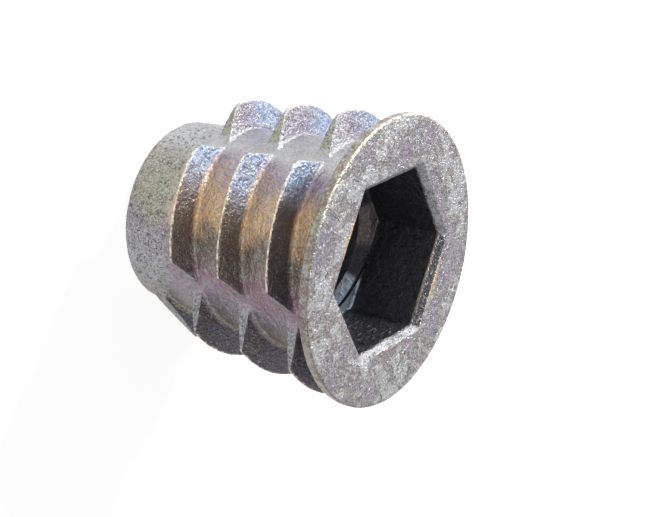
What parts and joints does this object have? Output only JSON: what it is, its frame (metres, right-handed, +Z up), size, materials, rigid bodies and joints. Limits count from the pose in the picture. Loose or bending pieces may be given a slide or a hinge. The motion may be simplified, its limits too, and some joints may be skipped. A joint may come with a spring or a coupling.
{
  "type": "threaded insert",
  "caption": "Flanged threaded insert for wood: a tapered cast body with a coarse, broken outer thread, a hexagonal key socket in the flange and a tapped bore.",
  "frame": {"origin": "centre of the flat tail face that the insert stands on", "axes": "+Z up along the bore and out of the flange face; the rows of outer ribs lie along +X, +Y, -X and -Y"},
  "size_m": [0.0142, 0.0142, 0.0127],
  "materials": {
    "cast_zinc": "bare zinc die casting, satin and faintly iridescent, with speckled and worn patches"
  },
  "bodies": {
    "root": {"threaded_insert": "cast_zinc"}
  },
  "joints": []
}
